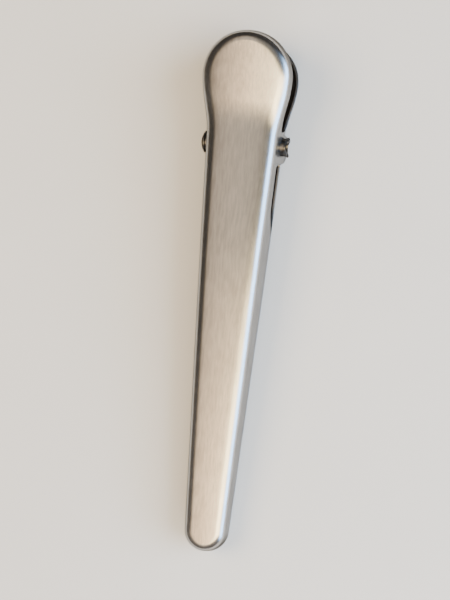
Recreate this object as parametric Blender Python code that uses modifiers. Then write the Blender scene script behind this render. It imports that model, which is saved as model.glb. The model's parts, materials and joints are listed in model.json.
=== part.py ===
"""Steel spring clip for closing bags: two pressed channel shells, one rivet and one torsion spring.

Design frame, in metres: X across the clip and along the rivet, Y from the jaw tip to the thumb end,
Z from the back shell to the front shell. The rivet's axis and the plane where the jaws meet both
pass through its origin. The finished clip then leans a little, to lie on its back on a table.
"""

import math

import bmesh
import bpy
from mathutils import Matrix

# Overall sizes
LENGTH = 0.150  # over the steel, thumb end to jaw tip
PIVOT_TO_HEAD = 0.0315  # rivet axis to the thumb end
HEAD_RADIUS = 0.0120  # round thumb end, on the corner line where face and wall would meet
HEAD_STRAIGHT = 0.0008  # full-width stretch below the round thumb end
HEAD_SWELL = 0.0157  # stretch over which the head then narrows to the straight taper
PIVOT_HALF_WIDTH = 0.00955  # corner line at the rivet
TIP_RADIUS = 0.0055  # corner line at the jaw tip

# Pressed sheet
SHEET = 0.0008
DRAFT = math.radians(12.0)  # how far the walls lean outwards
HEAD_FILLET = 0.0033  # outer radius between face and wall at the thumb end
TIP_FILLET = 0.0024

# Side profile: height of the face above the jaw plane
BEND_FROM_HEAD = 0.024  # where the thumb lever bends away
BEND_HEIGHT = 0.0084
LEVER_SLOPE = math.radians(10.4)
MIDDLE_SLOPE = math.radians(0.6)
KNEE_FROM_HEAD = 0.065  # where the jaw starts to thin towards its tip
JAW_SLOPE = math.radians(2.1)
BEND_BLEND = 0.004
KNEE_BLEND = 0.012

# Edge of the walls, measured from the jaw plane
JAW_GAP = 0.0003  # between the closed jaws
CONTACT_FROM_HEAD = 0.057  # the jaws touch from here to the tip
RECESS_FROM_HEAD = 0.0505  # and the recess beside the ears starts here
RECESS = 0.0027
EAR_EDGE = 0.0030  # edge of the wall at the ears
BEND_EDGE = 0.0040  # edge under the bend
HEAD_EDGE = 0.0070  # edge at the thumb end

# Rivet
RIVET_RADIUS = 0.0025
RUNNING_GAP = 0.0003  # between the rivet and what turns on it, and under its dome
RIVET_HEAD_LIP = 0.00065  # how much wider than the shank the dome is
RIVET_HEAD_PROUD = 0.00125
RIVET_SEAT = 0.0005  # how far the dome's round edge reaches in past the ear's face
RIVET_TAIL_PROUD = 0.0014
RIVET_FLARE = 0.00045
RIVET_WALL = 0.0007
RIVET_BORE_DEPTH = 0.0050
RIVET_NOTCH_DEPTH = 0.0006

# Ears, measured from the edge of the hole that the rivet passes through
OUTER_EAR_RIM = 0.0005  # sheet left towards the thumb end, and below
OUTER_EAR_JAW_RIM = 0.0022  # and towards the jaws
INNER_EAR_RIM = 0.0014
EAR_CLEARANCE = 0.0005  # side gap between outer and inner ears

# Torsion spring
WIRE_RADIUS = 0.0008
COIL_CLEARANCE = 0.0005  # between the rivet and the wire
COIL_PITCH = 0.0019
COIL_SIDE_GAP = 0.0004  # between the coil's end and an inner ear, at least
LEG_END_FROM_HEAD = 0.0105

# Corners of the walls' lower edge
BEND_EDGE_ROUND = 0.002
EAR_NOTCH_ROUND = 0.0005
EAR_CORNER_ROUND = 0.0012
EAR_JAW_CORNER_ROUND = 0.0020
EAR_TAPER = 0.0008  # how much wider the outer ear is at its root, on the jaw side
RECESS_ROUND = 0.002
CONTACT_ROUND = 0.001

# Fineness and the reach of cutters
HEAD_STEPS = 8  # per quarter turn
SIDE_STEPS = 22
TIP_STEPS = 6
FILLET_STEPS = 4
TURN_STEPS = 12  # points in one turn of the spring
ROUND_STEPS = 32
DOME_STEPS = 5
CORNER_STEPS = 4
LEG_STEPS = 4
LEAN_TRIES = 6  # rounds of laying the clip down
SPARE = 0.004  # how far a surface goes past the edge where it is cut
CUTTER_REACH = 0.030  # more than half the clip's width and depth

HEAD_Y = PIVOT_TO_HEAD
TIP_Y = PIVOT_TO_HEAD - LENGTH
HOLE_RADIUS = RIVET_RADIUS + RUNNING_GAP
EAR_HEAD_SIDE = HOLE_RADIUS + OUTER_EAR_RIM
EAR_JAW_SIDE = HOLE_RADIUS + OUTER_EAR_JAW_RIM
EAR_DROP = HOLE_RADIUS + OUTER_EAR_RIM  # how far the outer ear passes the jaw plane
INNER_EAR_RADIUS = HOLE_RADIUS + INNER_EAR_RIM
COIL_RADIUS = RIVET_RADIUS + COIL_CLEARANCE + WIRE_RADIUS  # to the wire's centre


def from_head(distance):
    """Y of a place that lies this far from the thumb end."""
    return HEAD_Y - distance


def soft_ramp(t, blend):
    """0 below -blend, t above blend, and the parabola that joins them between."""
    if t <= -blend:
        return 0.0
    if t >= blend:
        return t
    return (t + blend) ** 2 / (4 * blend)


def face_height(y):
    """Height of the outer face above the jaw plane."""
    past_bend = y - from_head(BEND_FROM_HEAD)
    past_knee = from_head(KNEE_FROM_HEAD) - y
    lever = math.tan(LEVER_SLOPE) - math.tan(MIDDLE_SLOPE)
    jaw = math.tan(JAW_SLOPE) - math.tan(MIDDLE_SLOPE)
    straight = BEND_HEIGHT + math.tan(MIDDLE_SLOPE) * past_bend
    return straight + lever * soft_ramp(past_bend, BEND_BLEND) - jaw * soft_ramp(past_knee, KNEE_BLEND)


def head_centre_y():
    """Centre of the round thumb end, so that the edge of its wall is at the thumb end."""
    depth = face_height(HEAD_Y) - HEAD_EDGE
    return HEAD_Y - depth * math.tan(DRAFT) - HEAD_RADIUS


def tip_centre_y():
    """Centre of the round jaw tip, so that the edge of its wall is at the tip."""
    return TIP_Y + face_height(TIP_Y) * math.tan(DRAFT) + TIP_RADIUS


def half_width(y):
    """Half the width along the corner line: a straight taper, and the swell of the head."""
    taper = (PIVOT_HALF_WIDTH - TIP_RADIUS) / -tip_centre_y()
    straight = PIVOT_HALF_WIDTH + taper * y
    swell = HEAD_RADIUS - (PIVOT_HALF_WIDTH + taper * head_centre_y())
    share = min(1.0, max(0.0, (head_centre_y() - HEAD_STRAIGHT - y) / HEAD_SWELL))
    return straight + swell * (1 + math.cos(math.pi * share)) / 2


def half_outline():
    """Corner line from the middle of the thumb end round to the middle of the tip, on the +X side."""
    top, bottom = head_centre_y(), tip_centre_y()
    points = []
    for i in range(HEAD_STEPS):
        turn = math.pi / 2 * i / HEAD_STEPS
        points.append((HEAD_RADIUS * math.sin(turn), top + HEAD_RADIUS * math.cos(turn)))
    for i in range(SIDE_STEPS):
        share = i / SIDE_STEPS
        y = top + (bottom - top) * share ** 1.4  # closer together near the head
        points.append((half_width(y), y))
    for i in range(TIP_STEPS + 1):
        turn = math.pi / 2 * i / TIP_STEPS
        points.append((TIP_RADIUS * math.cos(turn), bottom - TIP_RADIUS * math.sin(turn)))
    points[-1] = (0.0, points[-1][1])
    return points


def outward(points):
    """Unit normals of the half outline. Both ends point along Y."""
    normals = [(0.0, 1.0)]
    for before, after in zip(points, points[2:]):
        dx, dy = after[0] - before[0], after[1] - before[1]
        size = math.hypot(dx, dy)
        normals.append((-dy / size, dx / size))
    return normals + [(0.0, -1.0)]


def fillet_radius(y):
    """Outer fillet, growing evenly from the tip to the thumb end."""
    share = min(1.0, max(0.0, (y - TIP_Y) / LENGTH))
    return TIP_FILLET + (HEAD_FILLET - TIP_FILLET) * share


def wall_section(y, reach):
    """Places down the section of one wall, as (outwards from the corner line, down from the face)."""
    radius = fillet_radius(y)
    end = math.pi / 2 - DRAFT
    back = radius * math.tan(end / 2)
    places = []
    for i in range(FILLET_STEPS + 1):
        turn = end * i / FILLET_STEPS
        places.append((radius * math.sin(turn) - back, radius * (1 - math.cos(turn))))
    depth = face_height(y) + reach
    return places + [(depth * math.tan(DRAFT), depth)]


def shell_surface(name, reach):
    """Open outer surface of a shell: the face, the fillet all round and the leaning wall."""
    mesh = bmesh.new()
    corner = half_outline()
    normals = outward(corner)
    columns = []
    for (x, y), (nx, ny) in zip(corner, normals):
        places = wall_section(y, reach)
        columns.append([(x + nx * out, y + ny * out, down) for out, down in places])

    def ring_of(side):
        return [
            [mesh.verts.new((side * x, y, face_height(y) - down)) for x, y, down in column]
            for column in columns
        ]

    right = ring_of(1)
    left = ring_of(-1)
    for end in (0, -1):
        for vert in left[end]:
            mesh.verts.remove(vert)
        left[end] = right[end]
    for a, b in zip(right, right[1:]):
        for i in range(len(a) - 1):
            mesh.faces.new((a[i], b[i], b[i + 1], a[i + 1]))
    for a, b in zip(left, left[1:]):
        for i in range(len(a) - 1):
            mesh.faces.new((a[i], a[i + 1], b[i + 1], b[i]))
    for i in range(len(right) - 1):
        rung = [left[i][0], left[i + 1][0], right[i + 1][0], right[i][0]]
        mesh.faces.new(list(dict.fromkeys(rung)))
    data = bpy.data.meshes.new(name)
    mesh.to_mesh(data)
    mesh.free()
    return data


def rounded_path(corners):
    """A path through (y, z, radius) corners, with each radius cut in as a short arc."""
    path = []
    for i, (y, z, radius) in enumerate(corners):
        if radius == 0:
            path.append((y, z))
            continue
        before, after = corners[i - 1], corners[(i + 1) % len(corners)]
        ends = []
        for other in (before, after):
            dy, dz = other[0] - y, other[1] - z
            size = math.hypot(dy, dz)
            ends.append((y + dy / size * radius, z + dz / size * radius))
        for step in range(CORNER_STEPS + 1):
            t = step / CORNER_STEPS
            path.append(tuple(
                (1 - t) ** 2 * a + 2 * t * (1 - t) * c + t ** 2 * b
                for a, c, b in zip(ends[0], (y, z), ends[1])
            ))
    return path


def wall_edge(with_ear):
    """Side view of a shell's lower edge, thumb end first, as rounded corners above the jaw plane."""
    lever_fall = (HEAD_EDGE - BEND_EDGE) / BEND_FROM_HEAD
    ear_root = -EAR_JAW_SIDE - EAR_TAPER
    corners = [
        (HEAD_Y + SPARE, HEAD_EDGE + lever_fall * SPARE, 0),
        (from_head(BEND_FROM_HEAD), BEND_EDGE, BEND_EDGE_ROUND),
        (EAR_HEAD_SIDE + EAR_NOTCH_ROUND, EAR_EDGE, EAR_NOTCH_ROUND),
    ]
    if with_ear:
        corners += [
            (EAR_HEAD_SIDE, -EAR_DROP, EAR_CORNER_ROUND),
            (-EAR_HEAD_SIDE - EAR_TAPER, -EAR_DROP, EAR_JAW_CORNER_ROUND),
            (ear_root, EAR_EDGE, EAR_CORNER_ROUND),
        ]
    else:
        corners.append((ear_root, EAR_EDGE, EAR_NOTCH_ROUND))
    return corners + [
        (from_head(RECESS_FROM_HEAD), RECESS, RECESS_ROUND),
        (from_head(CONTACT_FROM_HEAD), JAW_GAP / 2, CONTACT_ROUND),
        (TIP_Y - SPARE, JAW_GAP / 2, 0),
    ]


def pushed_along_x(mesh, rings, distance):
    """Closes each ring of vertices with a face and pushes the faces along X into one solid."""
    faces = [mesh.faces.new(ring) for ring in rings]
    pushed = bmesh.ops.extrude_face_region(mesh, geom=faces)["geom"]
    moved = [item for item in pushed if isinstance(item, bmesh.types.BMVert)]
    bmesh.ops.translate(mesh, verts=moved, vec=(distance, 0, 0))
    bmesh.ops.recalc_face_normals(mesh, faces=mesh.faces)


def trim_cutter(name, with_ear, side):
    """Everything below a shell's lower edge. side is 1 for the front shell and -1 for the back."""
    corners = wall_edge(with_ear)
    corners += [(corners[-1][0], -CUTTER_REACH, 0), (corners[0][0], -CUTTER_REACH, 0)]
    mesh = bmesh.new()
    ring = [mesh.verts.new((-CUTTER_REACH, y, z * side)) for y, z in rounded_path(corners)]
    pushed_along_x(mesh, [ring], 2 * CUTTER_REACH)
    return cutter_from(mesh, name)


def cutter_from(mesh, name):
    """A hidden cutter made of this bmesh."""
    data = bpy.data.meshes.new(name)
    mesh.to_mesh(data)
    mesh.free()
    cutter = bpy.data.objects.new(name, data)
    cutters.objects.link(cutter)
    cutter.parent = lying_frame
    cutter.hide_render = True
    cutter.display_type = "WIRE"
    return cutter


def round_cutter(name, radius, length, matrix):
    """A cylinder along its own Z, then placed by the matrix."""
    mesh = bmesh.new()
    bmesh.ops.create_cone(
        mesh, cap_ends=True, segments=ROUND_STEPS, radius1=radius, radius2=radius, depth=length, matrix=matrix
    )
    return cutter_from(mesh, name)


def boolean(target, other, operation="DIFFERENCE"):
    """Adds a Boolean modifier with the exact solver."""
    modifier = target.modifiers.new(f"{operation.lower()} {other.name}", "BOOLEAN")
    modifier.operation = operation
    modifier.object = other
    modifier.solver = "EXACT"


def steel(name, colour, roughness):
    """Bare steel as a plain metal shader."""
    material = bpy.data.materials.new(name)
    material.use_nodes = True
    shader = material.node_tree.nodes["Principled BSDF"]
    shader.inputs["Base Color"].default_value = (*colour, 1.0)
    shader.inputs["Roughness"].default_value = roughness
    shader.inputs["Metallic"].default_value = 1.0
    return material


def part(name, data, material, smooth=30.0):
    """A named piece of the clip, carried by the lying frame."""
    piece = bpy.data.objects.new(name, data)
    clip.objects.link(piece)
    piece.parent = lying_frame
    data.materials.append(material)
    data.shade_smooth()
    data.set_sharp_from_angle(angle=math.radians(smooth))
    return piece


def shell(name, with_ear, side, material):
    """One pressed shell: surface, sheet thickness, trimmed edge."""
    data = shell_surface(name, reach=EAR_DROP + SPARE)
    if side < 0:
        data.transform(Matrix.Diagonal((1, 1, -1, 1)))
        data.flip_normals()
    piece = part(name, data, material)
    sheet = piece.modifiers.new("sheet", "SOLIDIFY")
    sheet.thickness = SHEET
    sheet.offset = -1
    sheet.use_even_offset = True
    boolean(piece, trim_cutter(f"{name} edge", with_ear, side))
    return piece


def outer_wall_x(y):
    """Outer surface of the front shell's wall and ear, where they cross the jaw plane."""
    return half_width(y) + face_height(y) * math.tan(DRAFT)


def inner_ear_x():
    """Outer face of an inner ear at the jaw plane: it clears the outer ear at its narrow, jaw side."""
    return outer_wall_x(-INNER_EAR_RADIUS) - SHEET / math.cos(DRAFT) - EAR_CLEARANCE


def inner_ear(name, side):
    """A plate of the back shell round the rivet, just inside the front shell's ear and parallel to it.

    Below its bend it runs down inside the wall that it grows from.
    """
    inset = SHEET / 4
    wall_x = outer_wall_x(-INNER_EAR_RADIUS) - inset
    bend = -(wall_x - inner_ear_x()) / (2 * math.tan(DRAFT))
    root = min(-EAR_EDGE, bend) - SHEET / 2
    mesh = bmesh.new()

    def corner(y, z):
        lean = -z if z >= bend else z - 2 * bend
        return mesh.verts.new((inner_ear_x() + lean * math.tan(DRAFT), y, z))

    top = []
    for i in range(ROUND_STEPS // 2 + 1):
        turn = math.pi * i / (ROUND_STEPS // 2)
        top.append(corner(INNER_EAR_RADIUS * math.cos(turn), INNER_EAR_RADIUS * math.sin(turn)))
    left, right = corner(-INNER_EAR_RADIUS, bend), corner(INNER_EAR_RADIUS, bend)
    foot = [corner(-INNER_EAR_RADIUS, root), corner(INNER_EAR_RADIUS, root)]
    pushed_along_x(mesh, [top + [left, right], [right, left] + foot], -SHEET)
    bmesh.ops.scale(mesh, vec=(side, 1, 1), verts=mesh.verts)
    bmesh.ops.recalc_face_normals(mesh, faces=mesh.faces)
    return cutter_from(mesh, name)


def turned(name, profile):
    """A solid turned about its own Z from a profile of (radius, height), listed from the top down.

    Both ends of the profile lie on the axis. The piece is then laid down, with its top towards -X.
    """
    data = bpy.data.meshes.new(name)
    edges = [(i, i + 1) for i in range(len(profile) - 1)]
    data.from_pydata([(radius, 0, height) for radius, height in profile], edges, [])
    piece = bpy.data.objects.new(name, data)
    piece.parent = lying_frame
    piece.rotation_euler = (0, -math.pi / 2, 0)
    screw = piece.modifiers.new("turn", "SCREW")
    screw.axis = "Z"
    screw.steps = screw.render_steps = ROUND_STEPS
    screw.use_merge_vertices = True
    screw.merge_threshold = 0.000001
    screw.use_smooth_shade = True
    return piece


def rivet_head():
    """Low dome on the -X side. Its underside leans with the ear and stays a running gap off it."""
    radius = RIVET_RADIUS + RIVET_HEAD_LIP
    ear_x = outer_wall_x(radius)
    seat = ear_x - RIVET_SEAT
    rise = RIVET_HEAD_PROUD + RIVET_SEAT
    ball = (radius ** 2 + rise ** 2) / (2 * rise)
    edge = math.asin(radius / ball)
    profile = [(0.0, seat + rise)]
    for i in range(1, DOME_STEPS + 1):
        turn = edge * i / DOME_STEPS
        profile.append((ball * math.sin(turn), seat + rise - ball * (1 - math.cos(turn))))
    profile += [(radius, seat - RIVET_SEAT), (0.0, seat - RIVET_SEAT)]
    head = turned("rivet dome", profile)
    cutters.objects.link(head)
    head.hide_render = True
    head.display_type = "WIRE"
    ear_face = bmesh.new()
    bmesh.ops.create_cube(ear_face, size=CUTTER_REACH)
    bmesh.ops.translate(ear_face, verts=ear_face.verts, vec=(CUTTER_REACH / 2, 0, 0))
    ear_face.transform(Matrix.Rotation(DRAFT, 4, "Y"))
    gap = RUNNING_GAP / math.cos(DRAFT)
    bmesh.ops.translate(ear_face, verts=ear_face.verts, vec=(-ear_x - gap, 0, 0))
    boolean(head, cutter_from(ear_face, "ear face"))
    return head


def rivet(material):
    """Tubular rivet: shank, flared and notched tail on the +X side, dome on the -X side."""
    lip = RIVET_RADIUS + RIVET_FLARE
    ear_x = outer_wall_x(lip)
    tail = -ear_x - RIVET_TAIL_PROUD
    bore = RIVET_RADIUS - RIVET_WALL
    profile = [
        (0.0, ear_x + RIVET_HEAD_PROUD / 2),
        (RIVET_RADIUS, ear_x + RIVET_HEAD_PROUD / 2),
        (RIVET_RADIUS, tail + 2.0 * RIVET_FLARE),
        (RIVET_RADIUS + RIVET_FLARE / 3, tail + RIVET_FLARE),
        (lip, tail),
        (bore + RIVET_FLARE, tail),
        (bore, tail + 2.0 * RIVET_FLARE),
        (bore, tail + RIVET_BORE_DEPTH),
        (0.0, tail + RIVET_BORE_DEPTH + bore / 2),
    ]
    piece = turned("pivot_rivet", profile)
    clip.objects.link(piece)
    piece.data.materials.append(material)
    boolean(piece, rivet_head(), "UNION")
    notch_radius = 1.3 * lip  # a wide, shallow notch that leaves two horns
    place = Matrix.Translation((notch_radius - RIVET_NOTCH_DEPTH - tail, 0, 0))
    boolean(piece, round_cutter("tail notch", notch_radius, CUTTER_REACH, place))
    return piece


def leg_end(side):
    """Where a spring leg bears on the inside of a lever, as (y, z) of the wire's centre."""
    y = from_head(LEG_END_FROM_HEAD)
    return y, side * (face_height(y) - SHEET / math.cos(LEVER_SLOPE) - RUNNING_GAP - WIRE_RADIUS)


def tangent_turn(side):
    """Turn of the coil at which a straight leg to the lever leaves it, measured from +Y towards +Z."""
    y, z = leg_end(side)
    return math.atan2(z, y) + side * math.acos(COIL_RADIUS / math.hypot(y, z))


def coil_turns(part_turn):
    """Whole turns that fit between the inner ears, besides the part turn between the two legs."""
    narrowest = inner_ear_x() - INNER_EAR_RADIUS * math.tan(DRAFT) - SHEET
    room = 2 * (narrowest - COIL_SIDE_GAP - WIRE_RADIUS)
    return math.floor(room / COIL_PITCH - part_turn)


def spring_path():
    """Centre of the wire: one leg, the coil round the rivet, the other leg."""
    first, last = tangent_turn(1), tangent_turn(-1)
    part_turn = (last - first) / (2 * math.pi)
    sweep = 2 * math.pi * (coil_turns(part_turn) + part_turn)
    count = round(TURN_STEPS * sweep / (2 * math.pi))
    width = COIL_PITCH * sweep / (2 * math.pi)
    path = []
    for i in range(count + 1):
        share = i / count
        turn = first + sweep * share
        path.append((width * (share - 0.5), COIL_RADIUS * math.cos(turn), COIL_RADIUS * math.sin(turn)))
    leg_points = []
    for side, start in ((1, path[0]), (-1, path[-1])):
        y, z = leg_end(side)
        shares = [i / LEG_STEPS for i in range(1, LEG_STEPS + 1)]
        leg_points.append([
            (start[0], start[1] + (y - start[1]) * share, start[2] + (z - start[2]) * share)
            for share in shares
        ])
    return leg_points[0][::-1] + path + leg_points[1]


def spring(material):
    """Torsion spring of round wire, as a curve with filled ends."""
    curve = bpy.data.curves.new("torsion_spring", "CURVE")
    curve.dimensions = "3D"
    curve.bevel_depth = WIRE_RADIUS
    curve.bevel_resolution = 2
    curve.use_fill_caps = True
    points = spring_path()
    line = curve.splines.new("POLY")
    line.points.add(len(points) - 1)
    for point, place in zip(line.points, points):
        point.co = (*place, 1.0)
    curve.materials.append(material)
    piece = bpy.data.objects.new("torsion_spring", curve)
    clip.objects.link(piece)
    piece.parent = lying_frame
    return piece


def world_points(pieces):
    """Every corner of the finished pieces, in world space."""
    bpy.context.view_layer.update()
    graph = bpy.context.evaluated_depsgraph_get()
    found = []
    for piece in pieces:
        ready = piece.evaluated_get(graph)
        found += [ready.matrix_world @ vert.co for vert in ready.to_mesh().vertices]
        ready.to_mesh_clear()
    return found


def lay_on_table(pieces):
    """Leans the frame until the back touches the table at the head and at the tip, then centres it."""
    for _ in range(LEAN_TRIES):
        points = world_points(pieces)
        head = min((p for p in points if p.y > 0), key=lambda p: p.z)
        tip = min((p for p in points if p.y < 0), key=lambda p: p.z)
        lying_frame.rotation_euler.x -= math.atan2(head.z - tip.z, head.y - tip.y)
    points = world_points(pieces)
    low = [min(p[axis] for p in points) for axis in range(3)]
    high = [max(p[axis] for p in points) for axis in range(3)]
    lying_frame.location = (-(low[0] + high[0]) / 2, -(low[1] + high[1]) / 2, -low[2])
    bpy.context.view_layer.update()


for old in list(bpy.data.objects):
    bpy.data.objects.remove(old)

clip = bpy.data.collections.new("bag_clip")
cutters = bpy.data.collections.new("cutters")
bpy.context.scene.collection.children.link(clip)
bpy.context.scene.collection.children.link(cutters)
lying_frame = bpy.data.objects.new("lying_frame", None)
clip.objects.link(lying_frame)

brushed = steel("brushed_steel", (0.62, 0.58, 0.53), 0.34)
rivet_steel = steel("rivet_steel", (0.36, 0.35, 0.34), 0.42)
spring_steel = steel("spring_steel", (0.30, 0.29, 0.28), 0.38)

hole = round_cutter("rivet hole", HOLE_RADIUS, 2 * CUTTER_REACH, Matrix.Rotation(math.pi / 2, 4, "Y"))
front_shell = shell("front_shell", True, 1, brushed)
back_shell = shell("back_shell", False, -1, brushed)
for ear_side, ear_name in ((1, "inner ear right"), (-1, "inner ear left")):
    boolean(back_shell, inner_ear(ear_name, ear_side), "UNION")
for drilled in (front_shell, back_shell):
    boolean(drilled, hole)
pivot_rivet = rivet(rivet_steel)
torsion_spring = spring(spring_steel)
lay_on_table([front_shell, back_shell, pivot_rivet, torsion_spring])
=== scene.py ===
"""Looks of the steel spring clip: two brushed pressings, a tubular rivet and a torsion spring.

Sizes are in metres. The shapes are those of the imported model, made again from the same rules at a
finer step, with the sheet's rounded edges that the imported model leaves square. The design frame has
its origin on the rivet's axis, X along the rivet, Y towards the thumb end and Z to the front shell.
"""
import json
import math

import bpy
import numpy as np
from mathutils import Matrix, Vector


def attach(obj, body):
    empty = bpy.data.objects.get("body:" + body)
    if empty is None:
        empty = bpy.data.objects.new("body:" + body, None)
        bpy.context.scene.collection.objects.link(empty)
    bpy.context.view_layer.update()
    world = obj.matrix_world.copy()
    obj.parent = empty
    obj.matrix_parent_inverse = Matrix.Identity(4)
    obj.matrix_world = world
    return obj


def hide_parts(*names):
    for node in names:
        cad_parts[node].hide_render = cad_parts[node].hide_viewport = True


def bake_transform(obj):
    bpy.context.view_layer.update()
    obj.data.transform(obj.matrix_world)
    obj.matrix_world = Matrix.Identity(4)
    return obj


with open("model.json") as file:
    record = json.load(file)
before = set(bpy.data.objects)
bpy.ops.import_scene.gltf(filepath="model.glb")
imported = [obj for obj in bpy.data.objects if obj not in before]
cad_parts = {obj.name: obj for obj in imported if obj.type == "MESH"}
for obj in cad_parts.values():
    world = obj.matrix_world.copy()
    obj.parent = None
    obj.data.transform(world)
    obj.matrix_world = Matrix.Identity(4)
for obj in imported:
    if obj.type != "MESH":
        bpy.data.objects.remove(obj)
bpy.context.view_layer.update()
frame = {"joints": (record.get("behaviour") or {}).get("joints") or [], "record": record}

# Driving sizes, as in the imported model
LENGTH = 0.150
PIVOT_TO_HEAD = 0.0315
HEAD_RADIUS = 0.0120
HEAD_STRAIGHT = 0.0008
HEAD_SWELL = 0.0157
PIVOT_HALF_WIDTH = 0.00955
TIP_RADIUS = 0.0055
SHEET = 0.0008
DRAFT = math.radians(12.0)
HEAD_FILLET = 0.0033
TIP_FILLET = 0.0024
BEND_FROM_HEAD = 0.024
BEND_HEIGHT = 0.0084
LEVER_SLOPE = math.radians(10.4)
MIDDLE_SLOPE = math.radians(0.6)
KNEE_FROM_HEAD = 0.065
JAW_SLOPE = math.radians(2.1)
BEND_BLEND = 0.004
KNEE_BLEND = 0.012
JAW_GAP = 0.0003
CONTACT_FROM_HEAD = 0.057
RECESS_FROM_HEAD = 0.0505
RECESS = 0.0027
EAR_EDGE = 0.0030
BEND_EDGE = 0.0040
HEAD_EDGE = 0.0070
RIVET_RADIUS = 0.0025
RUNNING_GAP = 0.0003
RIVET_HEAD_LIP = 0.00065
RIVET_HEAD_PROUD = 0.00125
RIVET_TAIL_PROUD = 0.0014
RIVET_FLARE = 0.00045
RIVET_WALL = 0.0007
RIVET_BORE_DEPTH = 0.0050
RIVET_NOTCH_DEPTH = 0.0006
OUTER_EAR_RIM = 0.0005
OUTER_EAR_JAW_RIM = 0.0022
INNER_EAR_RIM = 0.0014
EAR_CLEARANCE = 0.0005
EAR_TAPER = 0.0008
WIRE_RADIUS = 0.0008
COIL_CLEARANCE = 0.0005
COIL_PITCH = 0.0019
COIL_SIDE_GAP = 0.0004
LEG_END_FROM_HEAD = 0.0105

# Details of the real surface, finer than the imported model
EDGE_ROUND = 0.00016  # tumbled edges of the sheet
HOLE_SLACK = 0.00006  # the pressed-in rivet fills its holes
CROWN_RADIUS = 0.11  # the flat faces bulge a little across
CROWN_FADE = 0.0025  # depth at which the bulge has gone
SMOOTHING = 0.0007  # blends the corner line's joints

# Fineness
COLUMN_STEP = 0.00045
EAR_COLUMN_STEP = 0.00018
FACE_STEPS = 6
FILLET_STEPS = 9
WALL_STEPS = 9
EDGE_STEPS = 4
ROUND_STEPS = 96

HEAD_Y = PIVOT_TO_HEAD
TIP_Y = PIVOT_TO_HEAD - LENGTH
HOLE_RADIUS = RIVET_RADIUS + RUNNING_GAP
EAR_HEAD_SIDE = HOLE_RADIUS + OUTER_EAR_RIM
EAR_JAW_SIDE = HOLE_RADIUS + OUTER_EAR_JAW_RIM
INNER_EAR_RADIUS = HOLE_RADIUS + INNER_EAR_RIM
COIL_RADIUS = RIVET_RADIUS + COIL_CLEARANCE + WIRE_RADIUS

JOINT = frame["joints"][0]
BACK_FACE = frame["record"]["mounts"][0]
LYING_TILT = JAW_SLOPE + math.atan2(BACK_FACE["axis"][1], -BACK_FACE["axis"][2])
LYING = Matrix.Translation(JOINT["pos_m"]) @ Matrix.Rotation(LYING_TILT, 4, "X")


# Shape rules of the clip

def from_head(distance):
    """Y of a place that lies this far from the thumb end."""
    return HEAD_Y - distance


def soft_ramp(t, blend):
    """0 below -blend, t above blend, and the parabola that joins them between."""
    middle = np.clip(t + blend, 0, 2 * blend)
    return np.where(t >= blend, t, middle ** 2 / (4 * blend))


def face_height(y):
    """Height of the outer face above the jaw plane."""
    past_bend = y - from_head(BEND_FROM_HEAD)
    past_knee = from_head(KNEE_FROM_HEAD) - y
    lever = math.tan(LEVER_SLOPE) - math.tan(MIDDLE_SLOPE)
    jaw = math.tan(JAW_SLOPE) - math.tan(MIDDLE_SLOPE)
    straight = BEND_HEIGHT + math.tan(MIDDLE_SLOPE) * past_bend
    return straight + lever * soft_ramp(past_bend, BEND_BLEND) - jaw * soft_ramp(past_knee, KNEE_BLEND)


HEAD_CENTRE_Y = HEAD_Y - (float(face_height(HEAD_Y)) - HEAD_EDGE) * math.tan(DRAFT) - HEAD_RADIUS
TIP_CENTRE_Y = TIP_Y + float(face_height(TIP_Y)) * math.tan(DRAFT) + TIP_RADIUS


def half_width(y):
    """Half the width along the corner line: a straight taper, and the swell of the head."""
    taper = (PIVOT_HALF_WIDTH - TIP_RADIUS) / -TIP_CENTRE_Y
    swell = HEAD_RADIUS - (PIVOT_HALF_WIDTH + taper * HEAD_CENTRE_Y)
    share = np.clip((HEAD_CENTRE_Y - HEAD_STRAIGHT - y) / HEAD_SWELL, 0, 1)
    return PIVOT_HALF_WIDTH + taper * y + swell * (1 + np.cos(np.pi * share)) / 2


def outer_wall_x(y):
    """Outer surface of the front shell's wall and ear, where they cross the jaw plane."""
    return float(half_width(y) + face_height(y) * math.tan(DRAFT))


def inner_ear_x():
    """Outer face of an inner ear at the jaw plane."""
    return outer_wall_x(-INNER_EAR_RADIUS) - SHEET / math.cos(DRAFT) - EAR_CLEARANCE


def smoothstep(a, b, t):
    """0 below a, 1 above b, and smooth between."""
    share = np.clip((t - a) / (b - a), 0, 1)
    return share * share * (3 - 2 * share)


def blurred(values, width):
    """Gaussian blur of evenly spaced values that keeps both end values where they are."""
    reach = int(4 * width)
    kernel = np.exp(-0.5 * (np.arange(-reach, reach + 1) / width) ** 2)
    start = 2 * values[0] - values[reach:0:-1]
    end = 2 * values[-1] - values[-2:-reach - 2:-1]
    padded = np.concatenate([start, values, end])
    return np.convolve(padded, kernel / kernel.sum(), mode="valid")


def corner_line():
    """The line where face and wall would meet, from the thumb end to the tip on the +X side.

    Gives evenly spaced arc lengths with their x, y and the turn of the normal from +Y towards +X.
    """
    turn = np.linspace(0, np.pi / 2, 400)
    side = np.linspace(HEAD_CENTRE_Y, TIP_CENTRE_Y, 3000)
    x = np.concatenate([HEAD_RADIUS * np.sin(turn), half_width(side), TIP_RADIUS * np.cos(turn)])
    head_y = HEAD_CENTRE_Y + HEAD_RADIUS * np.cos(turn)
    tip_y = TIP_CENTRE_Y - TIP_RADIUS * np.sin(turn)
    y = np.concatenate([head_y, side, tip_y])
    run = np.concatenate([[0], np.cumsum(np.hypot(np.diff(x), np.diff(y)))])
    step = 0.00005
    arc = np.linspace(0, run[-1], int(run[-1] / step))
    x, y = np.interp(arc, run, x), np.interp(arc, run, y)
    normal = np.unwrap(np.arctan2(-np.gradient(y, arc), np.gradient(x, arc)))
    normal[0], normal[-1] = 0.0, np.pi
    return arc, x, y, blurred(normal, SMOOTHING / step)


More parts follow.
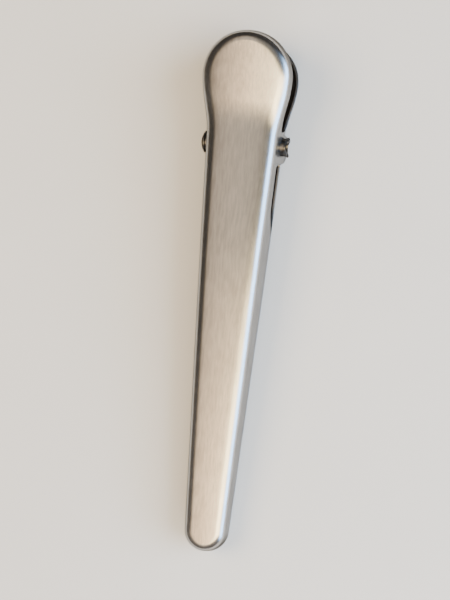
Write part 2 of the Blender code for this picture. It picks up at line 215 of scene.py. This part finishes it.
ARC, CORNER_X, CORNER_Y, CORNER_TURN = corner_line()


def place(arc, out, down):
    """A point beside the corner line: outwards along its normal, and down from the face's height."""
    turn = np.interp(arc, ARC, CORNER_TURN)
    x = np.interp(arc, ARC, CORNER_X) + np.sin(turn) * out
    y = np.interp(arc, ARC, CORNER_Y) + np.cos(turn) * out
    return np.stack([x, y, face_height(y) - down], axis=-1)


def fillet_radius(arc):
    """Outer fillet, growing evenly from the tip to the thumb end."""
    share = np.clip((np.interp(arc, ARC, CORNER_Y) - TIP_Y) / LENGTH, 0, 1)
    return TIP_FILLET + (HEAD_FILLET - TIP_FILLET) * share


# Lower edges of the shells

def rounded_path(corners, steps=10):
    """A path through (y, z, radius) corners, with each radius cut in as a short arc."""
    path = []
    for i, (y, z, radius) in enumerate(corners):
        if radius == 0:
            path.append((y, z))
            continue
        here = np.array([y, z])
        ends = []
        for other in (corners[i - 1], corners[i + 1]):
            away = np.array(other[:2]) - here
            ends.append(here + away / np.linalg.norm(away) * radius)
        for t in np.linspace(0, 1, steps + 1):
            path.append(tuple((1 - t) ** 2 * ends[0] + 2 * t * (1 - t) * here + t ** 2 * ends[1]))
    return np.array(path)


def wall_edge(front):
    """Side view of a shell's lower edge, thumb end first, as rounded corners above the jaw plane."""
    margin = 0.004
    lever_fall = (HEAD_EDGE - BEND_EDGE) / BEND_FROM_HEAD
    ear_root = -EAR_JAW_SIDE - EAR_TAPER
    corners = [
        (HEAD_Y + margin, HEAD_EDGE + lever_fall * margin, 0),
        (from_head(BEND_FROM_HEAD), BEND_EDGE, 0.002),
    ]
    if front:
        corners += [
            (EAR_HEAD_SIDE + 0.0006, EAR_EDGE, 0.0008),
            (EAR_HEAD_SIDE - 0.0003, -HOLE_RADIUS - OUTER_EAR_RIM, 0.0012),
            (-EAR_HEAD_SIDE - EAR_TAPER, -HOLE_RADIUS - OUTER_EAR_RIM, 0.0020),
            (ear_root, EAR_EDGE, 0.0012),
        ]
    else:
        corners += [(INNER_EAR_RADIUS + 0.0005, EAR_EDGE, 0.0006)]
        for turn in np.linspace(0.06, np.pi - 0.06, 30):
            corners.append((INNER_EAR_RADIUS * math.cos(turn), -INNER_EAR_RADIUS * math.sin(turn), 0))
        corners += [(-INNER_EAR_RADIUS - 0.0005, EAR_EDGE, 0.0006)]
    return rounded_path(corners + [
        (from_head(RECESS_FROM_HEAD), RECESS, 0.002),
        (from_head(CONTACT_FROM_HEAD), JAW_GAP / 2, 0.001),
        (TIP_Y - margin, JAW_GAP / 2, 0),
    ])


def edge_columns(front):
    """Where each column of the shell's surface ends: arc lengths and depths along its lower edge.

    The edge is first moved back by the round of the sheet, which the rim puts on again.
    """
    path = wall_edge(front)[::-1]
    arc = np.arange(0, ARC[-1], 0.00002)
    turn = np.interp(arc, ARC, CORNER_TURN)
    corner = np.interp(arc, ARC, CORNER_Y)
    down = face_height(corner) - 0.003
    for _ in range(30):
        y = corner + np.cos(turn) * down * math.tan(DRAFT)
        down = face_height(y) - np.interp(y, path[:, 0], path[:, 1])
    along = np.gradient(arc)
    fall = np.gradient(down)
    size = np.hypot(along, fall)
    arc_in = np.clip(arc + EDGE_ROUND * fall / size, 0, ARC[-1])
    down_in = down - EDGE_ROUND * along / size
    run = np.concatenate([[0], np.cumsum(np.hypot(np.diff(arc_in), np.diff(down_in)))])
    near_ear = np.abs(np.interp(arc, ARC, CORNER_Y)) < 2 * INNER_EAR_RADIUS
    spacing = blurred(np.where(near_ear, EAR_COLUMN_STEP, COLUMN_STEP), 60)
    count = np.concatenate([[0], np.cumsum(np.diff(run) / spacing[1:])])
    picks = np.linspace(0, count[-1], int(count[-1]) + 1)
    ends = np.interp(picks, count, arc_in), np.interp(picks, count, down_in)
    ends[0][0], ends[0][-1] = 0.0, ARC[-1]
    return ends


def joggle(points):
    """Draws the ears of the back shell inwards, as a press does, so that they clear the outer ears."""
    x, y, z = points[..., 0], points[..., 1], points[..., 2]
    wall = half_width(y) + (face_height(y) - z) * math.tan(DRAFT)
    ear = inner_ear_x() + z * math.tan(DRAFT)
    share = smoothstep(EAR_EDGE + 0.0014, EAR_EDGE - 0.0012, z)
    share *= smoothstep(INNER_EAR_RADIUS + 0.0022, INNER_EAR_RADIUS + 0.0002, np.abs(y))
    moved = points.copy()
    moved[..., 0] = x - np.maximum(wall - ear, 0) * share * (np.abs(y) < 3 * INNER_EAR_RADIUS)
    return moved


def outer_rings(front):
    """Rows of the outer surface on the +X side, from the edge of the flat face to the lower edge."""
    arc_edge, down_edge = edge_columns(front)
    arc_top = blurred(arc_edge, 12)
    radius = fillet_radius(arc_top)
    end = math.pi / 2 - DRAFT
    back = radius * math.tan(end / 2)
    rings = []
    for i in range(FILLET_STEPS + 1):
        turn = end * i / FILLET_STEPS
        rings.append(place(arc_top, radius * math.sin(turn) - back, radius * (1 - math.cos(turn))))
    down_top = radius * (1 - math.cos(end))
    for i in range(1, WALL_STEPS + 1):
        share = i / WALL_STEPS
        arc = arc_top + (arc_edge - arc_top) * share
        down = down_top + (down_edge - down_top) * share
        rings.append(place(arc, down * math.tan(DRAFT), down))
    rings = np.array(rings)
    rings[..., 2] -= crowned(rings[..., 0], face_height(rings[..., 1]) - rings[..., 2])
    if not front:
        rings = joggle(rings)
    rings[:, 0, 0] = rings[:, -1, 0] = 0.0
    return rings


# Mesh building

def crowned(x, down):
    """How far the slight bulge of a face lowers a point at this depth below the face."""
    return x ** 2 / (2 * CROWN_RADIUS) * (1 - smoothstep(0, CROWN_FADE, down))


def skin(rings):
    """Closed loops of the right rows and their mirror image, with the rungs across the flat face.

    Gives the points, the faces and the indices of the lowest loop.
    """
    count = rings.shape[1]
    points, faces, loops = [], [], []
    for ring in rings:
        mirrored = ring[-2:0:-1] * [-1, 1, 1]
        start = len(points)
        points += list(ring) + list(mirrored)
        loops.append(np.arange(start, start + 2 * count - 2))
    for upper, lower in zip(loops, loops[1:]):
        for i in range(len(upper)):
            j = (i + 1) % len(upper)
            faces.append((upper[i], upper[j], lower[j], lower[i]))
    top, size = loops[0], len(loops[0])
    rungs = []
    for i in range(count):
        right = top[i]
        if i in (0, count - 1):
            rungs.append([right])
            continue
        rung = [right]
        x, y, z = rings[0][i]
        for share in np.linspace(1, -1, 2 * FACE_STEPS + 1)[1:-1]:
            level = z + crowned(x, 0) - crowned(x * share, 0)
            points.append(np.array([x * share, y, level]))
            rung.append(len(points) - 1)
        rung.append(top[size - i])
        rungs.append(rung)
    for here, after in zip(rungs, rungs[1:]):
        last = max(len(here), len(after)) - 1
        for k in range(last):
            corners = [here[min(k + 1, len(here) - 1)], after[min(k + 1, len(after) - 1)]]
            corners += [after[min(k, len(after) - 1)], here[min(k, len(here) - 1)]]
            faces.append(tuple(dict.fromkeys(int(c) for c in corners)))
    return np.array(points), faces, loops[-1]


def mesh_from(name, points, faces):
    """A smooth-shaded mesh of these points and faces."""
    data = bpy.data.meshes.new(name)
    data.from_pydata([tuple(p) for p in points], [], [tuple(int(i) for i in f) for f in faces])
    data.shade_smooth()
    return data


def normals_of(points, faces):
    """Smooth normals at the points of an open surface."""
    data = mesh_from("scratch", points, faces)
    found = np.array([v.normal for v in data.vertices])
    bpy.data.meshes.remove(data)
    return found


def sheet_metal(name, front):
    """A pressed shell as a closed mesh: outer skin, inner skin and a rounded rim between them."""
    rings = outer_rings(front)
    outer, faces, rim = skin(rings)
    normals = normals_of(outer, faces)
    inner = outer - normals * SHEET
    count = len(outer)
    faces = faces + [tuple(i + count for i in reversed(face)) for face in faces]
    points = list(outer) + list(inner)
    along = np.roll(outer[rim], -1, axis=0) - np.roll(outer[rim], 1, axis=0)
    away = np.cross(normals[rim], along)
    away /= np.linalg.norm(away, axis=1)[:, None]
    away *= np.sign(np.sum(away * [0, 0, -1], axis=1).sum())
    section = []
    for i in range(1, EDGE_STEPS + 1):
        turn = math.pi / 2 * i / EDGE_STEPS
        section.append((EDGE_ROUND * math.sin(turn), EDGE_ROUND * (1 - math.cos(turn))))
    section += [(reach, SHEET - depth) for reach, depth in reversed(section)]
    previous = rim
    for reach, depth in section:
        start = len(points)
        points += list(outer[rim] + away * reach - normals[rim] * depth)
        ring = np.arange(start, start + len(rim))
        faces += band(previous, ring)
        previous = ring
    faces += band(previous, rim + count)
    if not front:
        points = [p * [1, 1, -1] for p in points]
        faces = [tuple(reversed(face)) for face in faces]
    data = mesh_from(name, points, faces)
    # marks the inner skin and the rim, which are drawn rougher and painted darker as shade
    unbrushed_and_shaded = data.attributes.new("unbrushed_and_shaded", "FLOAT", "POINT")
    unbrushed_and_shaded.data.foreach_set("value", [0.0] * count + [1.0] * (len(points) - count))
    return data


def band(upper, lower):
    """Faces between two closed loops of the same length."""
    size = len(upper)
    return [(upper[i], upper[(i + 1) % size], lower[(i + 1) % size], lower[i]) for i in range(size)]


def lay_grain(data):
    """A UV map whose first direction runs lengthwise, for the direction of the brushing."""
    grain = data.uv_layers.new(name="lengthwise")
    spots = [data.vertices[loop.vertex_index].co for loop in data.loops]
    for corner, spot in zip(grain.data, spots):
        corner.uv = (spot.y / LENGTH, (spot.x - 0.7 * abs(spot.z)) / LENGTH)


def add_piece(name, data, body, nodes, material):
    """A finished piece in the clip's place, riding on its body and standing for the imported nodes."""
    lay_grain(data)
    data.transform(LYING)
    piece = bpy.data.objects.new(name, data)
    bpy.context.scene.collection.objects.link(piece)
    data.materials.clear()
    data.materials.append(material)
    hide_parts(*nodes)
    if body:
        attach(piece, body)
    return piece


def evaluated_mesh(piece):
    """The mesh of an object with its modifiers applied. The object is removed."""
    graph = bpy.context.evaluated_depsgraph_get()
    data = bpy.data.meshes.new_from_object(piece.evaluated_get(graph))
    bpy.data.objects.remove(piece)
    return data


def temporary(name, data):
    """A scratch object for a mesh."""
    piece = bpy.data.objects.new(name, data)
    bpy.context.scene.collection.objects.link(piece)
    return piece


def cylinder(name, radius, length, centre):
    """A closed cylinder along X."""
    bpy.ops.mesh.primitive_cylinder_add(
        vertices=ROUND_STEPS, radius=radius, depth=length, location=centre, rotation=(0, math.pi / 2, 0)
    )
    piece = bpy.context.object
    piece.name = name
    return piece


def cut(data, cutter):
    """The mesh with the cutter taken away."""
    piece = temporary("being cut", data)
    modifier = piece.modifiers.new("cut", "BOOLEAN")
    modifier.object = cutter
    modifier.solver = "EXACT"
    bpy.context.view_layer.update()
    result = evaluated_mesh(piece)
    result.set_sharp_from_angle(angle=math.radians(35))
    return result


def turned(profile, top_towards):
    """A solid turned about X from (radius, height) places, listed from the top down."""
    data = bpy.data.meshes.new("profile")
    edges = [(i, i + 1) for i in range(len(profile) - 1)]
    data.from_pydata([(radius, 0, height) for radius, height in profile], edges, [])
    piece = temporary("turned", data)
    screw = piece.modifiers.new("turn", "SCREW")
    screw.axis = "Z"
    screw.steps = screw.render_steps = ROUND_STEPS
    screw.use_merge_vertices = True
    screw.merge_threshold = 0.0000005
    screw.use_smooth_shade = True
    bpy.context.view_layer.update()
    result = evaluated_mesh(piece)
    result.transform(Matrix.Rotation(math.pi / 2 * top_towards, 4, "Y"))
    return result


def arc_places(centre, radius, start, end, steps=8):
    """(radius, height) places along an arc, with angles in degrees from the radial direction."""
    return [
        (centre[0] + radius * math.cos(math.radians(a)), centre[1] + radius * math.sin(math.radians(a)))
        for a in np.linspace(start, end, steps + 1)
    ]


def rivet_mesh():
    """Tubular rivet: low dome on -X, shank, and on +X a flared, notched tail with a deep bore."""
    dome_radius = RIVET_RADIUS + RIVET_HEAD_LIP
    ear_x = outer_wall_x(dome_radius)
    lip = RIVET_RADIUS + RIVET_FLARE
    bore = RIVET_RADIUS - RIVET_WALL
    tail = -outer_wall_x(lip) - RIVET_TAIL_PROUD
    rim = 0.0003  # thickness of the dome's rolled edge
    lip_round = 0.0001
    flare_length = 3 * RIVET_FLARE
    bore_flare_length = 2.2 * RIVET_FLARE
    seat = ear_x - 0.0001
    rise = ear_x + RIVET_HEAD_PROUD - seat - rim
    ball = (dome_radius ** 2 + rise ** 2) / (2 * rise)
    spread = math.degrees(math.asin(dome_radius / ball))
    profile = arc_places((0.0, seat + rim + rise - ball), ball, 90, 90 - spread, 14)
    profile[0] = (0.0, profile[0][1])
    profile += arc_places((dome_radius - rim / 2, seat + rim / 2), rim / 2, 20, -90, 6)
    profile += [(RIVET_RADIUS, seat), (RIVET_RADIUS, tail + flare_length)]
    for share in np.linspace(0.15, 1, 7):
        radius = RIVET_RADIUS + RIVET_FLARE * share ** 2.2
        profile.append((radius, tail + flare_length * (1 - share) + lip_round))
    profile += arc_places((lip - lip_round, tail + lip_round), lip_round, -30, -150, 5)
    for share in np.linspace(0, 1, 7):
        radius = bore + RIVET_FLARE * 0.7 * (1 - share) ** 2
        profile.append((radius, tail + 0.00004 + bore_flare_length * share))
    profile += [(bore, tail + RIVET_BORE_DEPTH), (0.0, tail + RIVET_BORE_DEPTH + bore / 2)]
    data = turned(profile, -1)
    notch = 1.3 * lip
    cutter = cylinder("notch", notch, 0.03, (0, 0, 0))
    cutter.rotation_euler = (0, 0, 0)
    cutter.location = (notch - RIVET_NOTCH_DEPTH - tail, 0, 0)
    bpy.context.view_layer.update()
    result = cut(data, cutter)
    bpy.data.objects.remove(cutter)
    return result


def leg_end(side):
    """Where a spring leg bears on the inside of a lever, as (y, z) of the wire's centre."""
    y = from_head(LEG_END_FROM_HEAD)
    rest = SHEET / math.cos(LEVER_SLOPE) + RUNNING_GAP + WIRE_RADIUS
    return y, side * (float(face_height(y)) - rest)


def tangent_turn(side):
    """Turn of the coil at which a straight leg to the lever leaves it, measured from +Y towards +Z."""
    y, z = leg_end(side)
    return math.atan2(z, y) + side * math.acos(COIL_RADIUS / math.hypot(y, z))


def spring_path():
    """Centre of the wire: one leg, the coil round the rivet, the other leg."""
    first, last = tangent_turn(1), tangent_turn(-1)
    part_turn = (last - first) / (2 * math.pi)
    narrowest = inner_ear_x() - INNER_EAR_RADIUS * math.tan(DRAFT) - SHEET
    room = 2 * (narrowest - COIL_SIDE_GAP - WIRE_RADIUS)
    turns = math.floor(room / COIL_PITCH - part_turn) + part_turn
    share = np.linspace(0, 1, int(48 * turns))
    turn = first + 2 * math.pi * turns * share
    coil = np.stack([
        COIL_PITCH * turns * (share - 0.5), COIL_RADIUS * np.cos(turn), COIL_RADIUS * np.sin(turn)
    ], axis=1)
    legs = []
    for side, start in ((1, coil[0]), (-1, coil[-1])):
        end = np.array([start[0], *leg_end(side)])
        legs.append(np.array([start + (end - start) * t for t in np.linspace(0, 1, 25)[1:]]))
    return np.concatenate([legs[0][::-1], coil, legs[1]])


def spring_mesh():
    """The torsion spring as a smooth wire."""
    curve = bpy.data.curves.new("wire", "CURVE")
    curve.dimensions = "3D"
    curve.bevel_depth = WIRE_RADIUS
    curve.bevel_resolution = 6
    curve.use_fill_caps = True
    points = spring_path()
    line = curve.splines.new("POLY")
    line.points.add(len(points) - 1)
    for point, spot in zip(line.points, points):
        point.co = (*spot, 1.0)
    wire = bpy.data.objects.new("wire", curve)
    bpy.context.scene.collection.objects.link(wire)
    bpy.context.view_layer.update()
    data = evaluated_mesh(wire)
    data.set_sharp_from_angle(angle=math.radians(40))
    return data


# Node helpers

def new_node(tree, kind, settings=None, values=None):
    """A shader node with its settings and the values of its inputs, which are named or numbered."""
    made = tree.nodes.new(kind)
    for name, value in (settings or {}).items():
        setattr(made, name, value)
    for name, value in (values or {}).items():
        if isinstance(value, bpy.types.NodeSocket):
            tree.links.new(value, made.inputs[name])
        else:
            made.inputs[name].default_value = value
    return made


def calculated(tree, operation, *values):
    """The result of a math node."""
    return new_node(tree, "ShaderNodeMath", {"operation": operation}, dict(enumerate(values))).outputs[0]


def product(tree, first, *others):
    """The product of several values."""
    for other in others:
        first = calculated(tree, "MULTIPLY", first, other)
    return first


def weighed(tree, first, share, second):
    """A share of the first value and the rest of the second."""
    part = calculated(tree, "MULTIPLY", first, share)
    rest = calculated(tree, "MULTIPLY", second, 1 - share)
    return calculated(tree, "ADD", part, rest)


def ramp(tree, value, start, end, low=0.0, high=1.0):
    """A smooth change from low to high while the value goes from start to end."""
    values = {"Value": value, "From Min": start, "From Max": end, "To Min": low, "To Max": high}
    made = new_node(tree, "ShaderNodeMapRange", {"interpolation_type": "SMOOTHSTEP"}, values)
    return made.outputs["Result"]


def mixed(tree, share, first, second):
    """A colour between two colours."""
    made = new_node(tree, "ShaderNodeMix", {"data_type": "RGBA"})
    for socket, value in ((0, share), (6, first), (7, second)):
        if isinstance(value, bpy.types.NodeSocket):
            tree.links.new(value, made.inputs[socket])
        else:
            made.inputs[socket].default_value = value
    return made.outputs[2]


def scaled(tree, colour, amount):
    """A colour times an amount."""
    made = new_node(tree, "ShaderNodeVectorMath", {"operation": "SCALE"}, {0: colour, "Scale": amount})
    return made.outputs[0]


def added(tree, first, second):
    """The sum of two colours."""
    return new_node(tree, "ShaderNodeVectorMath", {"operation": "ADD"}, {0: first, 1: second}).outputs[0]


def noise(tree, place_in, size, detail=3.0, roughness=0.5):
    """Noise from 0 to 1 whose features have these sizes in metres along X, Y and Z."""
    scale = [1 / s for s in size]
    mapping = new_node(tree, "ShaderNodeMapping", {}, {"Vector": place_in, "Scale": scale})
    values = {"Vector": mapping.outputs[0], "Scale": 1.0, "Detail": detail, "Roughness": roughness}
    return new_node(tree, "ShaderNodeTexNoise", {}, values).outputs[0]


# Materials

CUT_EDGE_AND_SHADE_COLOUR = (0.20, 0.19, 0.18, 1)  # the rims and insides, which are not brushed; this dark colour is also painted shade, standing for the shade inside the shells
CUT_EDGE_DULLNESS = 0.16  # how much rougher they are
GRAZING_TINT = (0.12, 0.12, 0.12, 1)  # keeps the walls from glaring at a low angle
CLOUD_SIZE = (0.0035, 0.006, 0.0035)
BRUSHING = 0.55
ACROSS_THE_GRAIN = 0.25  # a quarter turn of the brushing's direction


def steel_material(name, light, dark, grain_size, roughness, bump, brushed=0.0):
    """Steel with a grain in its colour, its roughness and its relief.

    Brushed steel mirrors wider across the grain, and is duller on the cut edges and the inside, where its
    colour is also darkened as painted shade.
    """
    material = bpy.data.materials.new(name)
    material.use_nodes = True
    tree = material.node_tree
    shader = tree.nodes["Principled BSDF"]
    spot = new_node(tree, "ShaderNodeTexCoord").outputs["Object"]
    across, along = grain_size
    fine = noise(tree, spot, (across, along, across), 2.0, 0.6)
    coarse = noise(tree, spot, (3 * across, 1.5 * along, 3 * across), 3.0, 0.55)
    cloud = noise(tree, spot, CLOUD_SIZE, 3.0, 0.6)
    grain = weighed(tree, fine, 0.45, coarse)
    tone = weighed(tree, grain, 0.7, cloud)
    colour = mixed(tree, ramp(tree, tone, 0.32, 0.68), dark, light)
    level = calculated(tree, "MULTIPLY_ADD", tone, roughness[1] - roughness[0], roughness[0])
    if brushed:
        # painted shade: the marked rims and insides get a dark colour standing for the shade they lie in,
        # and more roughness
        dull_and_shaded = new_node(tree, "ShaderNodeAttribute", {"attribute_name": "unbrushed_and_shaded"}).outputs["Fac"]
        colour = mixed(tree, dull_and_shaded, colour, CUT_EDGE_AND_SHADE_COLOUR)
        level = calculated(tree, "MULTIPLY_ADD", dull_and_shaded, CUT_EDGE_DULLNESS, level)
    tree.links.new(colour, shader.inputs["Base Color"])
    tree.links.new(level, shader.inputs["Roughness"])
    values = {"Height": weighed(tree, coarse, 0.7, fine), "Distance": bump, "Strength": 1.0}
    tree.links.new(new_node(tree, "ShaderNodeBump", {}, values).outputs[0], shader.inputs["Normal"])
    shader.inputs["Metallic"].default_value = 1.0
    shader.inputs["Specular Tint"].default_value = GRAZING_TINT
    if brushed:
        shader.inputs["Anisotropic"].default_value = brushed
        shader.inputs["Anisotropic Rotation"].default_value = ACROSS_THE_GRAIN
        tangent = new_node(tree, "ShaderNodeTangent", {"direction_type": "UV_MAP", "uv_map": "lengthwise"})
        tree.links.new(tangent.outputs[0], shader.inputs["Tangent"])
    return material


def table_material():
    """A pale painted table top with a faint unevenness."""
    material = bpy.data.materials.new("table")
    material.use_nodes = True
    tree = material.node_tree
    shader = tree.nodes["Principled BSDF"]
    spot = new_node(tree, "ShaderNodeTexCoord").outputs["Object"]
    cloud = noise(tree, spot, (0.03, 0.03, 0.03), 2.0)
    light, dark = (0.305, 0.305, 0.305, 1), (0.29, 0.29, 0.29, 1)
    tree.links.new(mixed(tree, cloud, dark, light), shader.inputs["Base Color"])
    shader.inputs["Roughness"].default_value = 0.7
    return material


# Stage

def add_floor():
    """A plain pale table."""
    bpy.ops.mesh.primitive_plane_add(size=3.0, location=(0, 0, 0))
    floor = bpy.context.object
    floor.name = "table"
    floor.data.materials.append(table_material())


def add_camera():
    """Above the clip's middle, leaning over to the rivet's tail, with the clip a little aslant."""
    distance, roll, pitch, slant = 0.340, math.radians(11.81), math.radians(1.45), math.radians(5.61)
    aim = LYING @ Vector((-0.0013, -0.04525, 0.0))
    turn = LYING.to_3x3()
    upright = math.cos(roll)
    back = turn @ Vector((math.sin(roll), upright * math.sin(pitch), upright * math.cos(pitch)))
    along = turn @ Vector((0, 1, 0))
    up = (along - back * along.dot(back)).normalized()
    across = up.cross(back)
    slanted_up = up * math.cos(slant) - across * math.sin(slant)
    slanted_across = across * math.cos(slant) + up * math.sin(slant)
    lens = bpy.data.cameras.new("camera")
    lens.lens = 70.38
    lens.clip_start = 0.01
    camera = bpy.data.objects.new("camera", lens)
    bpy.context.scene.collection.objects.link(camera)
    place_at = Matrix((slanted_across, slanted_up, back)).transposed().to_4x4()
    camera.matrix_world = Matrix.Translation(aim + back * distance) @ place_at
    bpy.context.scene.camera = camera


OPENING_LIGHT = 16.2
OPENING_COLOURS = (1.0, 0.36, 0.08, 1), (1.0, 0.78, 0.43, 1)  # on its left and its right
CEILING_LIGHT = 1.6
CEILING_COLOURS = (1.0, 0.77, 0.57, 1), (1.0, 0.90, 0.74, 1)  # on its left and its right
WINDOW_LIGHT = 10.0
WINDOW_COLOUR = (0.45, 0.75, 1.2)
DIM_COLOUR = (0.085, 0.074, 0.066)


def add_room():
    """The soft room: dim and warm, bright towards the tip, with a cool window low on the right."""
    world = bpy.data.worlds.new("room")
    bpy.context.scene.world = world
    world.use_nodes = True
    tree = world.node_tree
    aim = new_node(tree, "ShaderNodeTexCoord").outputs["Generated"]
    x, y, z = new_node(tree, "ShaderNodeSeparateXYZ", {}, {0: aim}).outputs
    to_right = calculated(tree, "ARCTAN2", x, z)
    to_head = calculated(tree, "ARCTAN2", y, z)
    round_about = calculated(tree, "ARCTAN2", y, x)

    def fade(angle, start, end, low=0.0, high=1.0):
        """A smooth change while an angle goes from start to end, in degrees."""
        return ramp(tree, angle, math.radians(start), math.radians(end), low, high)

    # A large bright opening towards the tip, brighter on the right
    opening = product(
        tree, fade(to_head, -3, -25), fade(to_head, -40, -18),
        fade(to_right, -20, 12), fade(to_right, 64, 48), OPENING_LIGHT,
    )
    # The dimmer ceiling, with a dark shape right of the middle
    ceiling = product(
        tree, fade(to_right, -32, -10), fade(to_right, 50, 25), fade(to_head, 40, 12),
        fade(to_head, -60, -40), fade(to_right, -13, 1, 1.0, 0.2), CEILING_LIGHT,
    )
    # A cool window low on the right
    window = product(
        tree, fade(to_right, 54, 62), fade(round_about, -45, -20), fade(round_about, 32, 6), WINDOW_LIGHT
    )
    side = fade(to_right, -22, 4)
    total = added(
        tree,
        scaled(tree, mixed(tree, side, *OPENING_COLOURS), opening),
        scaled(tree, mixed(tree, side, *CEILING_COLOURS), ceiling),
    )
    total = added(tree, total, scaled(tree, WINDOW_COLOUR, window))
    total = added(tree, total, scaled(tree, DIM_COLOUR, ramp(tree, y, -0.10, -0.44, 1.0, 3.2)))
    tree.links.new(total, tree.nodes["Background"].inputs["Color"])


def add_lamp(name, spot, size, power, colour):
    """A soft lamp that lights the table and isn't mirrored in the steel."""
    data = bpy.data.lights.new(name, "AREA")
    data.size = size
    data.energy = power
    data.color = colour
    lamp = bpy.data.objects.new(name, data)
    bpy.context.scene.collection.objects.link(lamp)
    lamp.location = spot
    lamp.rotation_euler = (-Vector(spot)).to_track_quat("-Z", "Y").to_euler()
    lamp.visible_camera = False
    lamp.visible_glossy = False


steel = steel_material(
    "brushed_steel", light=(0.52, 0.513, 0.50, 1), dark=(0.40, 0.393, 0.38, 1),
    grain_size=(0.00022, 0.005), roughness=(0.19, 0.28), bump=0.0000025, brushed=BRUSHING,
)
rivet_steel = steel_material(
    "rivet_steel", light=(0.22, 0.215, 0.21, 1), dark=(0.14, 0.136, 0.132, 1),
    grain_size=(0.0006, 0.0009), roughness=(0.25, 0.36), bump=0.000004,
)
spring_steel = steel_material(
    "spring_steel", light=(0.36, 0.35, 0.34, 1), dark=(0.26, 0.25, 0.245, 1),
    grain_size=(0.0009, 0.0005), roughness=(0.28, 0.40), bump=0.000003,
)

hole = cylinder("hole", RIVET_RADIUS + HOLE_SLACK, 0.05, (0, 0, 0))
for name, front, body, node in (
    ("front_pressing", True, "front_half", "front_shell"),
    ("back_pressing", False, "back_half", "back_shell"),
):
    shell = cut(sheet_metal(name, front), hole)
    add_piece(name, shell, body, [node], steel)
bpy.data.objects.remove(hole)
add_piece("rivet", rivet_mesh(), "front_half", ["pivot_rivet"], rivet_steel)
spring = add_piece("spring", spring_mesh(), None, ["torsion_spring"], spring_steel)
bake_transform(spring)

add_floor()
add_camera()
add_room()
add_lamp("lamp on the left", (-0.37, 0.02, 0.58), 0.4, 13.5, (1.0, 0.76, 0.48))
add_lamp("lamp below the tip", (0.10, -0.36, 0.25), 0.25, 2.5, (0.95, 0.96, 1.0))
add_lamp("lamp on the right", (0.50, -0.02, 0.35), 0.5, 16.5, (0.80, 0.90, 1.0))
